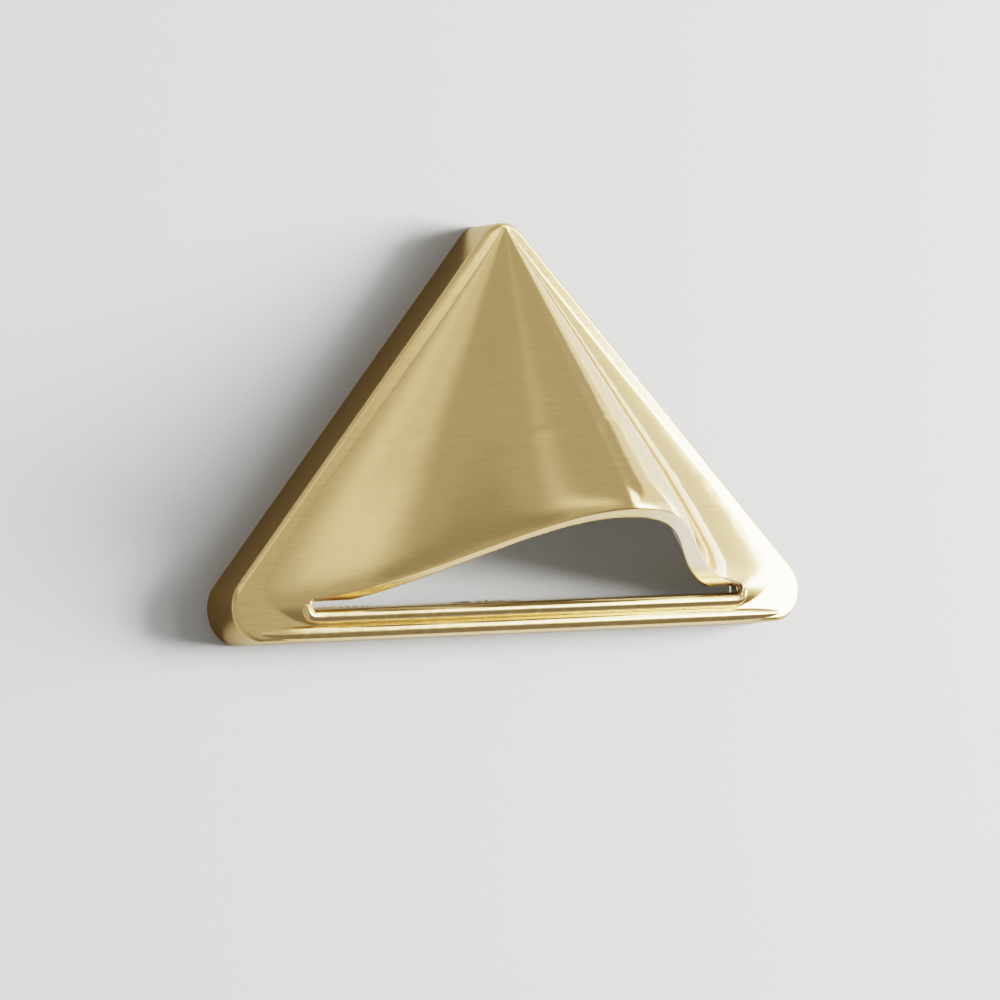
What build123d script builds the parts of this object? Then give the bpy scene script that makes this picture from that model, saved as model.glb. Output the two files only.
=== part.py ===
"""Cup pull for a drawer: a triangular plate with a hollow hood over a finger mouth, cast in one piece."""
from math import cos, radians, sin, tan
import os

from build123d import *

# Plate outline, seen from the front with its long edge at the bottom
plate_width = 90.0          # over the two rounded bottom corners
side_angle = 45.0           # of the two sloping sides to the bottom edge
corner_radius = 4.1
plate_depth = 4.9           # from the drawer front to the flat brim
draft_angle = 1.0
rim_chamfer = 0.35          # along the front edge of the rim

# Screw fixing from behind
screw_spacing = 32.0
screw_height = 20.0         # of the screw line above the bottom edge
screw_hole_radius = 1.65    # tapped M4
screw_hole_depth = 8.0
boss_radius = 4.0

# Hood: every cross section square to the plane of the mouth's slant is a bell, smaller towards the tip
tip_gap = 0.5               # from the top of the outline down to the tip
mouth_level = 4.25          # where the plane of the mouth meets the brim, above the bottom edge
mouth_slant = 24.0          # of the plane of the mouth, rising outwards
hood_side_angle = 44.3      # of the two foot lines of the hood, which run close to the rim
hood_rise = 21.8            # of the bell in the plane of the mouth, above the brim
ridge_reach = 16.2          # handle of the bell's curve at the ridge, for a rounder or sharper ridge
foot_reach = 23.8           # handle of the bell's curve at the foot
foot_angle = 1.5            # between the bell and the brim at the foot
toe_drop = 2.0              # of the foot of the bell below the brim, one step below the mouth
roll_height = 3.3           # of the zone above the mouth in which the ridge rolls in
roll_radius = 3.6
swing_height = 14.0         # of the zone above the mouth in which the foot lines swing in from the rim
swing_radius = 40.0
wall = 2.1

# Mouth and the bar under it
bar_height = 3.5            # at the brim
bar_slope = 10.0            # of the top of the bar, falling outwards
bar_lip = 0.6               # of the bar's top edge in front of the brim
bar_flat = 1.5              # height of the bar's flat front, below the slope up to its top edge
bar_round = 0.7             # along the top front edge of the bar
slot_width = 68.4           # between the round ends of the mouth
slot_height = 1.1           # of the mouth at its ends
rim_wall = 2.6              # of the rim around the hollow at the back

# Levels, measured from the screw line
bottom = -screw_height
slope = radians(side_angle)
half_base = plate_width / 2 + corner_radius * (1 / tan(slope / 2) - 1)
peak = bottom + half_base * tan(slope)
tip = peak - corner_radius * (1 / cos(slope) - 1) - tip_gap
mouth = bottom + mouth_level
bar_top = bottom + bar_height
slant = radians(mouth_slant)
fall = radians(bar_slope)
slot_back = plate_depth - 1.2 * wall
bar_back = bar_top + (plate_depth - slot_back) * tan(fall)
step = swing_height / 6     # between the cross sections of the hood
sink = 0.05                 # of the foot of the bell below the brim, so that the two surfaces cross
root = 1.0                  # of the hood's own solid below the foot of the bell


def ridge_size(level):
    """Distance to the tip, less what the ridge rolls in near the mouth."""
    return tip - level - max(0.0, mouth + roll_height - level) ** 2 / (2 * roll_radius)


def foot_line(level):
    """Half the width of the hood at its foot, less what the foot lines swing in near the mouth."""
    swing = max(0.0, mouth + swing_height - level) ** 2 / (2 * swing_radius)
    return (tip - level) / tan(radians(hood_side_angle)) - swing


def foot_drop(level):
    """Depth of the foot below the brim, which grows around the mouth so that the hood runs out under it."""
    return sink + toe_drop * (max(0.0, mouth + step / 2 - level) / (1.5 * step)) ** 2


def bell(level, inset):
    """Cross section of the hood where its plane meets the brim at a level."""
    wide = foot_line(level) / foot_line(mouth)
    half = foot_line(level) - 0.5 * inset
    foot = -inset / cos(slant) - foot_drop(level)
    rise = hood_rise * ridge_size(level) / ridge_size(mouth) - inset
    crest = ridge_reach * wide
    knee = half - foot_reach * wide * cos(radians(foot_angle))
    lift = foot + foot_reach * wide * sin(radians(foot_angle))
    plane = Plane(origin=(0, -plate_depth, level), x_dir=(1, 0, 0), z_dir=(0, -sin(slant), -cos(slant)))
    with BuildSketch(plane) as section:
        with BuildLine():
            Bezier((-half, foot), (-knee, lift), (-crest, rise), (0, rise))
            Bezier((0, rise), (crest, rise), (knee, lift), (half, foot))
            Polyline((half, foot), (half, foot - root), (-half, foot - root), (-half, foot))
        make_face()
    return section.sketch


def hood(inset):
    """Zone around the mouth, up to the straight cone, and that cone up to the tip."""
    zone = [bell(mouth + step * row, inset) for row in range(-1, 7)]
    return zone, [zone[-1], Vertex(0, inset + sink - plate_depth, tip - 0.3 * inset)]


outer_zone, outer_cone = hood(0)
inner_zone, inner_cone = hood(wall)

# Hollow behind the brim and the hood, above the bar and around the two screw bosses
inner_base = half_base - rim_wall / sin(slope)
with BuildPart() as hollow:
    with BuildSketch(Plane.XZ):
        with BuildLine():
            Polyline((-inner_base, bottom), (inner_base, bottom), (0, bottom + inner_base * tan(slope)), close=True)
        make_face()
    extrude(amount=plate_depth - wall)
    loft(inner_zone)
    loft(inner_cone, ruled=True)
    split(bisect_by=Plane.XY.offset(bar_back), keep=Keep.TOP)
    with BuildSketch(Plane.XZ):
        with GridLocations(screw_spacing, 0, 2, 1):
            Circle(boss_radius)
    extrude(amount=2 * plate_depth + hood_rise, mode=Mode.SUBTRACT)

# Mouth: a slot through the front, opening outwards between the bar and the plane of the mouth
reach = 2 * (plate_depth + hood_rise)
with BuildPart() as mouth_space:
    with BuildSketch(Plane.YZ):
        with BuildLine():
            Polyline(
                (-slot_back, bar_back),
                (-reach, bar_back - (reach - slot_back) * tan(fall)),
                (-reach, mouth + (reach - plate_depth) * tan(slant)),
                (-plate_depth - (bar_top + slot_height - mouth) / tan(slant), bar_top + slot_height),
                (-slot_back, bar_top + slot_height),
                close=True,
            )
        make_face()
    extrude(amount=slot_width, both=True)
    with BuildSketch(Plane.XZ) as slot:
        with Locations((0, bar_top)):
            Rectangle(slot_width, 3 * hood_rise, align=(Align.CENTER, Align.MIN))
        fillet(slot.vertices().group_by(Axis.Z)[0], slot_height / 2)
    extrude(amount=2 * reach, mode=Mode.INTERSECT)

# Outline of the plate
with BuildSketch(Plane.XZ) as outline:
    with BuildLine():
        Polyline((-half_base, bottom), (half_base, bottom), (0, peak), close=True)
    make_face()
    fillet(outline.vertices(), corner_radius)

# Space inside the edge of the brim and above the flat front of the bar, to which the hood is trimmed
with BuildPart() as inside_rim:
    with BuildSketch(Plane.XZ):
        add(outline.sketch)
        offset(amount=-2 * rim_chamfer)
    extrude(amount=reach)
    split(bisect_by=Plane.XY.offset(bottom + bar_flat / 2), keep=Keep.TOP)

with BuildPart() as outer_hood:
    loft(outer_zone)
    loft(outer_cone, ruled=True)
    add(inside_rim.part, mode=Mode.INTERSECT)

with BuildPart() as handle:
    extrude(outline.sketch, amount=plate_depth, taper=draft_angle)
    chamfer(handle.faces().sort_by(Axis.Y)[0].edges(), rim_chamfer)
    add(outer_hood.part)

    # Mouth, and the space in front of the bar
    add(mouth_space.part, mode=Mode.SUBTRACT)
    bar_end = (slot_width - slot_height) / 2
    bar_front = -plate_depth - bar_lip
    with BuildSketch(Plane.XY.offset(bar_back)):
        with BuildLine():
            Polyline(
                (-bar_end, bar_front),
                (bar_end, bar_front),
                (bar_end + reach, bar_front - reach),
                (-bar_end - reach, bar_front - reach),
                close=True,
            )
        make_face()
    extrude(amount=-2 * bar_height, mode=Mode.SUBTRACT)

    # Slope under the bar's top edge, and that edge rounded
    with BuildSketch(Plane.YZ):
        with BuildLine():
            Polyline(
                (-plate_depth, bottom + bar_flat),
                (bar_front, bar_top - bar_round),
                (bar_front - bar_lip, bar_top - bar_round),
                (bar_front - bar_lip, bottom - bar_flat),
                (-plate_depth, bottom - bar_flat),
                close=True,
            )
        make_face()
        with BuildLine():
            Line((bar_front + bar_round, bar_top + bar_lip), (bar_front - bar_lip, bar_top + bar_lip))
            Line((bar_front - bar_lip, bar_top + bar_lip), (bar_front - bar_lip, bar_top - bar_round))
            Line((bar_front - bar_lip, bar_top - bar_round), (bar_front, bar_top - bar_round))
            RadiusArc((bar_front, bar_top - bar_round), (bar_front + bar_round, bar_top), bar_round)
            Line((bar_front + bar_round, bar_top), (bar_front + bar_round, bar_top + bar_lip))
        make_face()
    extrude(amount=bar_end, both=True, mode=Mode.SUBTRACT)

    # Hollow back and tapped screw holes
    add(hollow.part, mode=Mode.SUBTRACT)
    with BuildSketch(Plane.XZ):
        with GridLocations(screw_spacing, 0, 2, 1):
            Circle(screw_hole_radius)
    extrude(amount=screw_hole_depth, mode=Mode.SUBTRACT)

handle.part.label = "handle"
os.makedirs("parts", exist_ok=True)
export_step(handle.part, "parts/handle.step")
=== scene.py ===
from collections import namedtuple
import math
import random

import bpy
from mathutils import Matrix, Vector


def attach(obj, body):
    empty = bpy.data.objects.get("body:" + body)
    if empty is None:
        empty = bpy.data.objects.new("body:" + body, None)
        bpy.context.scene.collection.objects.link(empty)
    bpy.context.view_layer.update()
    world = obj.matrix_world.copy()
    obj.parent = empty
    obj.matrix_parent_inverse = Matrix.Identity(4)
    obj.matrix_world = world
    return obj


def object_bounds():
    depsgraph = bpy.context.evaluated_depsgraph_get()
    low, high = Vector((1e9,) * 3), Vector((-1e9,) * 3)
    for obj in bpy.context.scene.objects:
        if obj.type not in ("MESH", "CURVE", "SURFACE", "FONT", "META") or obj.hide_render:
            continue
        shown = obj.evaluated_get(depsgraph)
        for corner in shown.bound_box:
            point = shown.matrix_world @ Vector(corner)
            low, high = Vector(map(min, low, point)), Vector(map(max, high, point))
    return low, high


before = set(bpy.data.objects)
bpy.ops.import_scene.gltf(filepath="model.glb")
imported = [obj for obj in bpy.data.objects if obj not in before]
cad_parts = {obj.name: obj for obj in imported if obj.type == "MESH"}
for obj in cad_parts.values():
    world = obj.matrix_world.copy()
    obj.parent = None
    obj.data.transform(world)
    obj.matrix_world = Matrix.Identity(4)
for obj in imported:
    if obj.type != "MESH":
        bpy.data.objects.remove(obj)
cad_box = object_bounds()
scene = bpy.context.scene
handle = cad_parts["handle"]
bottom = cad_box[0][2]      # lower edge of the plate
back = cad_box[1][1]        # face that lies on the drawer front


def on_handle(x, depth, height):
    """Point in metres, from millimetres: x from the middle, in front of the back, above the lower edge."""
    return x / 1000, back - depth / 1000, bottom + height / 1000


# Helpers for node trees
def node(tree, kind, **values):
    """Adds a node; a key sets the node's own property of that name, or else the socket of that name."""
    n = tree.nodes.new(kind)
    for key, value in values.items():
        if hasattr(n, key):
            setattr(n, key, value)
        else:
            n.inputs[key.replace("_", " ")].default_value = value
    return n


def calc(tree, operation, a, b=0.0, c=0.0):
    """One maths node; each operand is a number or an output socket."""
    n = tree.nodes.new("ShaderNodeMath")
    n.operation = operation
    for socket, value in zip(n.inputs, (a, b, c)):
        if isinstance(value, (int, float)):
            socket.default_value = value
        else:
            tree.links.new(value, socket)
    return n.outputs[0]


def ramp(tree, value, low, high):
    """Smooth step of a socket from 0 at low to 1 at high."""
    n = node(tree, "ShaderNodeMapRange", interpolation_type="SMOOTHSTEP", From_Min=low, From_Max=high)
    tree.links.new(value, n.inputs["Value"])
    return n.outputs["Result"]


def shares(tree, first, share, second):
    """Sum of two sockets, of which the first has this share and the second the rest."""
    return calc(
        tree, "ADD", calc(tree, "MULTIPLY", first, share), calc(tree, "MULTIPLY", second, 1 - share)
    )


MIX_SOCKETS = {"RGBA": (6, 7, 2), "FLOAT": (2, 3, 0), "VECTOR": (4, 5, 1)}   # the two inputs and the result


def blend(tree, kind, factor, low, high):
    """Mix of two values, colours or vectors, each a constant or an output socket."""
    n = node(tree, "ShaderNodeMix", data_type=kind)
    a, b, result = MIX_SOCKETS[kind]
    tree.links.new(factor, n.inputs[0])
    for socket, value in ((n.inputs[a], low), (n.inputs[b], high)):
        if isinstance(value, bpy.types.NodeSocket):
            tree.links.new(value, socket)
        else:
            socket.default_value = value
    return n.outputs[result]


def split_xyz(tree, vector):
    n = node(tree, "ShaderNodeSeparateXYZ")
    tree.links.new(vector, n.inputs[0])
    return n.outputs


# Camera to the left of the handle and a little below it
CAMERA_AZIMUTH, CAMERA_ELEVATION, CAMERA_ROLL = 41.332, -2.827, 3.791   # degrees
CAMERA_AIM = (0.00065, 0, -0.00386)
CAMERA_DISTANCE = 0.66518
CAMERA_LENS, CAMERA_SENSOR = 199.75, 36   # millimetres


def place_camera():
    azimuth, elevation = math.radians(CAMERA_AZIMUTH), math.radians(CAMERA_ELEVATION)
    roll = math.radians(CAMERA_ROLL)
    flat = math.cos(elevation)
    forward = Vector((math.sin(azimuth) * flat, math.cos(azimuth) * flat, -math.sin(elevation)))
    right = Vector((math.cos(azimuth), -math.sin(azimuth), 0))
    up = right.cross(forward)
    right, up = (
        math.cos(roll) * right - math.sin(roll) * up,
        math.sin(roll) * right + math.cos(roll) * up,
    )
    camera = bpy.data.objects.new("camera", bpy.data.cameras.new("camera"))
    scene.collection.objects.link(camera)
    turn = Matrix((right, up, -forward)).transposed()
    camera.matrix_world = Matrix.Translation(Vector(CAMERA_AIM) - forward * CAMERA_DISTANCE) @ turn.to_4x4()
    camera.data.lens = CAMERA_LENS
    camera.data.sensor_width = CAMERA_SENSOR
    camera.data.clip_start, camera.data.clip_end = 0.01, 20
    scene.camera = camera


# Brushed gold, with fine lines that run level around the handle
GOLD_DARK, GOLD_LIGHT = (0.770, 0.566, 0.297, 1), (0.815, 0.608, 0.327, 1)
# Darker gold on the sides is painted shade.
GOLD_WITH_PAINTED_SHADE_ON_SIDES = (0.60, 0.45, 0.245, 1)
# Lighter, paler gold on the lip and underside right of the ridge is a painted highlight.
GOLD_WITH_PAINTED_HIGHLIGHT_ON_LIP = (0.92, 0.79, 0.58, 1)
CAST_DARK, CAST_LIGHT = (0.66, 0.635, 0.58, 1), (0.76, 0.735, 0.675, 1)
GOLD_ROUGHNESS, STREAK_ROUGHNESS = 0.10, 0.05    # of the brushed front, and what the lines add
SIDE_ROUGHNESS, CAST_ROUGHNESS = 0.3, 0.5
FINE_LINES, BROAD_LINES, CLOUDS = (330, 8000), (110, 2600), (70, 70)
FINE_SHARE, STREAK_SHARE = 0.88, 0.7    # of the fine lines in the streaks, and of the streaks in the tint
WORN_RANGE, GRAIN_RANGE = (0.36, 0.64), (0.3, 0.7)
SIDE_TURN, BACK_TURN = (-0.12, -0.03), (0.0, 0.2)   # y of the normal where sides and backs begin, are full
DOWN_TURN = (-0.78, -0.88)      # z of the normal, likewise, where faces look down
RIDGE_FADE = (0.0, 0.012)       # x over which the painted highlight on the lip grows, from the ridge to the right
HOLLOW_EDGE = 0.0282            # |x| + z just outside the hollow's sloping walls
HOLLOW_FLOOR = -0.01615         # z just under the hollow's floor
EDGE_ROUNDING = 0.0005
BACK_BAND = (-0.0007, -0.0011)  # y over which the rounding of edges begins
LEVEL_AXIS = (0, -0.02, 1)      # nearly upright, and parallel to no level face's normal


def drawn_noise(tree, place, along, across):
    """Noise in features per metre along the brushed lines and across them."""
    scaled = node(tree, "ShaderNodeMapping", Scale=(along, along, across))
    tree.links.new(place, scaled.inputs["Vector"])
    noise = node(tree, "ShaderNodeTexNoise", Scale=1.0, Detail=2.0, Roughness=0.6)
    tree.links.new(scaled.outputs["Vector"], noise.inputs["Vector"])
    return noise.outputs["Fac"]


def handle_zones(tree, place, normal):
    """Masks of the sides, which get painted shade and more roughness, of the as-cast hollow, and of the lip
    and underside right of the ridge, which get a painted highlight.
    """
    _, face_y, face_z = split_xyz(tree, normal)
    x, _, z = split_xyz(tree, place)
    side = ramp(tree, face_y, *SIDE_TURN)
    reach = calc(tree, "ADD", calc(tree, "ABSOLUTE", x), z)
    within = calc(tree, "LESS_THAN", reach, HOLLOW_EDGE)
    above = calc(tree, "GREATER_THAN", z, HOLLOW_FLOOR)
    walls = calc(tree, "MULTIPLY", side, calc(tree, "MULTIPLY", within, above))
    hollow = calc(tree, "MAXIMUM", ramp(tree, face_y, *BACK_TURN), walls)
    lip = calc(tree, "MULTIPLY", ramp(tree, face_z, *DOWN_TURN), ramp(tree, x, *RIDGE_FADE))
    return side, hollow, lip


def brushed_gold():
    mat = bpy.data.materials.new("brushed_gold")
    mat.use_nodes = True
    tree = mat.node_tree
    tree.nodes.clear()
    link = tree.links.new
    out = node(tree, "ShaderNodeOutputMaterial")
    bsdf = node(tree, "ShaderNodeBsdfPrincipled", Metallic=1.0, Anisotropic=0.94, Anisotropic_Rotation=0.25)
    link(bsdf.outputs["BSDF"], out.inputs["Surface"])
    place = node(tree, "ShaderNodeTexCoord").outputs["Object"]
    normal = node(tree, "ShaderNodeNewGeometry").outputs["Normal"]
    side, hollow, lip = handle_zones(tree, place, normal)

    fine, broad, cloud = (drawn_noise(tree, place, *size) for size in (FINE_LINES, BROAD_LINES, CLOUDS))
    streak = shares(tree, fine, FINE_SHARE, broad)
    worn = shares(tree, streak, STREAK_SHARE, cloud)
    grain = node(tree, "ShaderNodeTexNoise", Scale=2600.0, Detail=4.0, Roughness=0.65)
    link(place, grain.inputs["Vector"])
    grain = grain.outputs["Fac"]

    gold = blend(tree, "RGBA", ramp(tree, worn, *WORN_RANGE), GOLD_DARK, GOLD_LIGHT)
    cast = blend(tree, "RGBA", ramp(tree, grain, *GRAIN_RANGE), CAST_DARK, CAST_LIGHT)
    # Painted highlight: lighter gold on the lip right of the ridge.
    front = blend(tree, "RGBA", lip, gold, GOLD_WITH_PAINTED_HIGHLIGHT_ON_LIP)
    # Painted shade: darker gold on the sides.
    outside = blend(tree, "RGBA", side, front, GOLD_WITH_PAINTED_SHADE_ON_SIDES)
    link(blend(tree, "RGBA", hollow, outside, cast), bsdf.inputs["Base Color"])
    brushed = calc(tree, "MULTIPLY_ADD", streak, STREAK_ROUGHNESS, GOLD_ROUGHNESS)
    dull = blend(tree, "FLOAT", side, brushed, SIDE_ROUGHNESS)
    link(blend(tree, "FLOAT", hollow, dull, CAST_ROUGHNESS), bsdf.inputs["Roughness"])

    # Edges that look rounded, except along the back, which lies on the drawer front
    off_back = ramp(tree, split_xyz(tree, place)["Y"], *BACK_BAND)
    edge = node(tree, "ShaderNodeBevel", samples=8, Radius=EDGE_ROUNDING)
    bump = node(tree, "ShaderNodeBump", Strength=0.09, Distance=0.00002)
    link(blend(tree, "FLOAT", hollow, streak, grain), bump.inputs["Height"])
    link(blend(tree, "VECTOR", off_back, normal, edge.outputs["Normal"]), bump.inputs["Normal"])
    link(bump.outputs["Normal"], bsdf.inputs["Normal"])

    cross = node(tree, "ShaderNodeVectorMath", operation="CROSS_PRODUCT")
    cross.inputs[0].default_value = LEVEL_AXIS
    link(normal, cross.inputs[1])
    level = node(tree, "ShaderNodeVectorMath", operation="NORMALIZE")
    link(cross.outputs["Vector"], level.inputs[0])
    link(level.outputs["Vector"], bsdf.inputs["Tangent"])
    return mat


# Polished gold of the rounded edges along the bar and of the casting flash
POLISHED_DARK, POLISHED_LIGHT = (0.80, 0.595, 0.315, 1), (0.86, 0.665, 0.385, 1)


def polished_gold():
    mat = bpy.data.materials.new("polished_gold")
    mat.use_nodes = True
    tree = mat.node_tree
    link = tree.links.new
    bsdf = tree.nodes["Principled BSDF"]
    bsdf.inputs["Metallic"].default_value = 1.0
    noise = node(tree, "ShaderNodeTexNoise", Scale=900.0, Detail=3.0, Roughness=0.6)
    link(node(tree, "ShaderNodeTexCoord").outputs["Object"], noise.inputs["Vector"])
    mottle = noise.outputs["Fac"]
    tint = blend(tree, "RGBA", ramp(tree, mottle, 0.35, 0.65), POLISHED_DARK, POLISHED_LIGHT)
    link(tint, bsdf.inputs["Base Color"])
    link(calc(tree, "MULTIPLY_ADD", mottle, 0.08, 0.12), bsdf.inputs["Roughness"])
    bump = node(tree, "ShaderNodeBump", Strength=0.08, Distance=0.00003)
    link(mottle, bump.inputs["Height"])
    link(bump.outputs["Normal"], bsdf.inputs["Normal"])
    return mat


def finish_piece(name, mesh, mat):
    """Makes a smooth piece of a mesh, in a given finish, that rides on the handle."""
    for polygon in mesh.polygons:
        polygon.use_smooth = True
    mesh.materials.append(mat)
    piece = bpy.data.objects.new(name, mesh)
    scene.collection.objects.link(piece)
    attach(piece, "root")


# Two rounded edges along the bar: one along its top, which turns up around both ends of the mouth, and
# one along its bottom, which runs out in the corners
BEAD_RADIUS = 0.88
BEAD = [
    # x, depth and height in millimetres, and the share of the radius
    (34.35, 4.90, 4.90, 0.45),
    (34.75, 5.22, 4.20, 0.70),
    (34.70, 5.15, 3.50, 0.85),
    (34.20, 4.97, 2.95, 0.95),
    (33.20, 4.88, 2.86, 1.0),
    (31.00, 4.87, 2.87, 1.0),
    (15.00, 4.87, 2.87, 1.0),
    (0.00, 4.87, 2.87, 1.0),
]
ROLL_RADIUS = 1.05
ROLL = [
    (42.20, 4.35, 1.25, 0.45),
    (41.00, 4.32, 1.08, 0.6),
    (39.00, 4.25, 1.07, 0.85),
    (35.00, 4.20, 1.06, 1.0),
    (15.00, 4.20, 1.06, 1.0),
    (0.00, 4.20, 1.06, 1.0),
]


def rounded_edge(name, radius, half, mat):
    """A round rod along a path, of which one half is given and the other mirrors it."""
    curve = bpy.data.curves.new(name + "_path", "CURVE")
    curve.dimensions = "3D"
    curve.bevel_depth = radius / 1000
    curve.bevel_resolution = 5
    curve.resolution_u = 10
    curve.use_fill_caps = True
    points = [(-x, depth, height, share) for x, depth, height, share in half] + half[-2::-1]
    spline = curve.splines.new("NURBS")
    spline.points.add(len(points) - 1)
    for point, (x, depth, height, share) in zip(spline.points, points):
        point.co = (*on_handle(x, depth, height), 1)
        point.radius = share
    spline.order_u = 3
    spline.use_endpoint_u = True
    path = bpy.data.objects.new(name + "_path", curve)
    mesh = bpy.data.meshes.new_from_object(path)
    mesh.name = name
    bpy.data.objects.remove(path)
    finish_piece(name, mesh, mat)


# Ragged casting flash along the back of the bar's top, strongest in two places
FLASH_START, FLASH_LENGTH, FLASH_STEPS = -32.5, 33.0, 150
FLASH_SPOTS = [(-27.0, 5.0, 0.20), (-6.0, 5.5, 0.26)]   # middle, width and height in millimetres
FLASH_LOW, FLASH_RAGGED = 0.05, 0.06    # height everywhere, and what varies besides the spots
FLASH_SHIFT = 0.12
FLASH_PROFILE = [
    # depth, height, share of the ragged height, share of the ragged shift
    (3.55, 3.58, 0.0, 1),
    (3.20, 3.72, 0.6, 1),
    (2.75, 3.84, 1.0, 1),
    (2.45, 3.88, 0.4, 0),
    (2.45, 3.60, 0.0, 0),
]


def casting_flash(mat):
    draw = random.Random(4)
    verts = []
    for i in range(FLASH_STEPS + 1):
        x = FLASH_START + FLASH_LENGTH * i / FLASH_STEPS
        swell = sum(tall * math.exp(-((x - middle) / width) ** 2) for middle, width, tall in FLASH_SPOTS)
        ragged = FLASH_LOW + (FLASH_RAGGED + swell) * draw.random() ** 1.5
        shift = draw.uniform(-FLASH_SHIFT, FLASH_SHIFT)
        for depth, height, rise, slide in FLASH_PROFILE:
            verts.append(on_handle(x, depth - slide * shift, height + rise * ragged))
    wide = len(FLASH_PROFILE)
    faces = []
    for i in range(FLASH_STEPS):
        here, there = i * wide, (i + 1) * wide
        for j in range(wide):
            after = (j + 1) % wide
            faces.append((here + j, here + after, there + after, there + j))
    faces.append(tuple(range(wide))[::-1])
    faces.append(tuple(FLASH_STEPS * wide + j for j in range(wide)))
    mesh = bpy.data.meshes.new("casting_flash")
    mesh.from_pydata(verts, [], faces)
    mesh.update()
    finish_piece("casting_flash", mesh, mat)


# Pale drawer front behind the handle, seen only from its front
WALL_SIZE, WALL_GAP = 3, 0.00005
WALL_COLOUR = (0.44, 0.44, 0.436, 1)


def drawer_front():
    bpy.ops.mesh.primitive_plane_add(
        size=WALL_SIZE, location=(0, WALL_GAP, 0), rotation=(math.pi / 2, 0, 0)
    )
    wall = bpy.context.object
    wall.name = "drawer_front"
    mat = bpy.data.materials.new("pale_paint")
    mat.use_nodes = True
    tree = mat.node_tree
    link = tree.links.new
    bsdf = tree.nodes["Principled BSDF"]
    bsdf.inputs["Base Color"].default_value = WALL_COLOUR
    bsdf.inputs["Roughness"].default_value = 0.7
    bsdf.inputs["Specular IOR Level"].default_value = 0.2
    clear = node(tree, "ShaderNodeBsdfTransparent")
    choose = node(tree, "ShaderNodeMixShader")
    link(node(tree, "ShaderNodeNewGeometry").outputs["Backfacing"], choose.inputs["Fac"])
    link(bsdf.outputs["BSDF"], choose.inputs[1])
    link(clear.outputs["BSDF"], choose.inputs[2])
    link(choose.outputs["Shader"], tree.nodes["Material Output"].inputs["Surface"])
    wall.data.materials.append(mat)
    return wall


# Soft studio light: a dim room with panels, placed by azimuth and elevation in degrees from the front.
# The lower and upper edges slope with the azimuth, and give their elevation at azimuth 0.
Panel = namedtuple(
    "Panel", "left left_soft right right_soft low low_slope high high_slope soft strength"
)
ROOM = 0.42
PANELS = [
    # Key light to the right, a dim patch beside it, a wide glow around it and a dim one farther right
    Panel(43.3, 0.3, 68, 9.0, -5, 0, 28, -0.4, 2.0, 11.0),
    Panel(64, 8.0, 104, 8.0, 2, 0, 11, 0, 4.0, 0.6),
    Panel(43, 1.0, 112, 8.0, -14, 0, -11.4, 0.62, 3.0, 0.50),
    Panel(112, 8.0, 140, 4.0, -14, 0, 20, 0, 4.0, 0.2),
    # Band above the front that falls to the right, and a darker band left of it
    Panel(-30, 18.0, 24, 14.0, 24, -0.58, 41, -0.58, 11.0, 0.52),
    Panel(-90, 8.0, -22, 8.0, -3, -0.58, 19, -0.58, 4.0, -0.12),
    # Strip that climbs to the right above the key light, and a darker patch low on the right
    Panel(42, 2.0, 53, 2.0, -58.5, 1.58, -44.5, 1.58, 4.0, 3.0),
    Panel(15, 8.0, 90, 8.0, -66, 0, -16, 0, 5.0, -0.19),
]


def studio():
    world = bpy.data.worlds.new("studio")
    scene.world = world
    world.use_nodes = True
    tree = world.node_tree
    tree.nodes.clear()
    link = tree.links.new
    x, y, z = split_xyz(tree, node(tree, "ShaderNodeTexCoord").outputs["Generated"])
    azimuth = calc(tree, "DEGREES", calc(tree, "ARCTAN2", x, calc(tree, "MULTIPLY", y, -1.0)))
    elevation = calc(tree, "DEGREES", calc(tree, "ARCSINE", z))

    def past(value, edge, slope, soft):
        """1 where the value is past an edge that slopes with the azimuth, 0 before it."""
        level = calc(tree, "MULTIPLY_ADD", azimuth, -slope, value)
        return ramp(tree, level, edge - soft, edge + soft)

    total = ROOM
    for panel in PANELS:
        from_left = past(azimuth, panel.left, 0.0, panel.left_soft)
        wide = calc(tree, "SUBTRACT", from_left, past(azimuth, panel.right, 0.0, panel.right_soft))
        from_low = past(elevation, panel.low, panel.low_slope, panel.soft)
        tall = calc(tree, "SUBTRACT", from_low, past(elevation, panel.high, panel.high_slope, panel.soft))
        patch = calc(tree, "MULTIPLY", wide, calc(tree, "MAXIMUM", tall, 0.0))
        total = calc(tree, "MULTIPLY_ADD", patch, panel.strength, total)
    air = node(tree, "ShaderNodeBackground", Color=(1.0, 1.0, 0.99, 1))
    link(total, air.inputs["Strength"])
    link(air.outputs["Background"], node(tree, "ShaderNodeOutputWorld").inputs["Surface"])


def lamp(name, place, size, power, lit):
    """A round lamp that lights only the object it is given; the handle casts a shadow in its light."""
    data = bpy.data.lights.new(name, "AREA")
    data.shape, data.size, data.energy = "DISK", size, power
    obj = bpy.data.objects.new(name, data)
    scene.collection.objects.link(obj)
    obj.location = place
    obj.rotation_euler = (-Vector(place)).to_track_quat("-Z", "Y").to_euler()
    group = bpy.data.collections.new(name + "_on")
    group.objects.link(lit)
    obj.light_linking.receiver_collection = group
    shade = bpy.data.collections.new(name + "_shade")
    shade.objects.link(handle)
    obj.light_linking.blocker_collection = shade


handle.data.materials.clear()
handle.data.materials.append(brushed_gold())
polished = polished_gold()
rounded_edge("bar_bead", BEAD_RADIUS, BEAD, polished)
rounded_edge("bar_roll", ROLL_RADIUS, ROLL, polished)
casting_flash(polished)
place_camera()
wall = drawer_front()
studio()
lamp("back_light", place=(0, 0.7, 0.1), size=0.5, power=3.0, lit=handle)
lamp("wall_light", place=(1.41, -0.51, 0.05), size=0.62, power=82.0, lit=wall)
scene.view_settings.view_transform = "Filmic"
scene.view_settings.look = "Very High Contrast"
